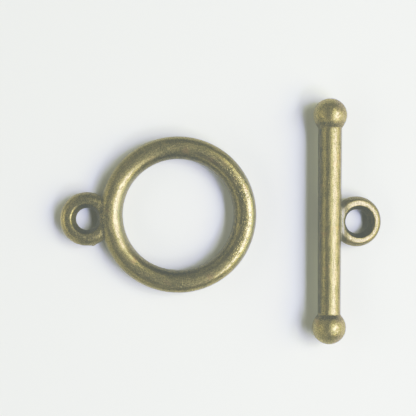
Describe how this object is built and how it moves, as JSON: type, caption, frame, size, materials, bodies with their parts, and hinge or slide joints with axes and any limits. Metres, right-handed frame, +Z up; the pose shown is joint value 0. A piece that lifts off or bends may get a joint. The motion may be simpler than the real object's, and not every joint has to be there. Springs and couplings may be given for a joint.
{
  "type": "toggle clasp",
  "caption": "Toggle clasp for jewellery: a round ring with a side loop, and a straight bar with ball ends and a side loop, lying apart. The bar threads through the ring and turns across it.",
  "frame": {"origin": "on the table under the middle of the clasp's outline, as the two halves lie", "axes": "+X from the ring half to the bar half, +Y along the bar, +Z up from the table"},
  "size_m": [0.0288, 0.0218, 0.003],
  "materials": {
    "antique_bronze": "satin antique bronze plating, darker in the recesses and worn pale on the high places"
  },
  "bodies": {
    "root": {"toggle_ring": "antique_bronze", "toggle_bar": "antique_bronze"}
  },
  "joints": []
}
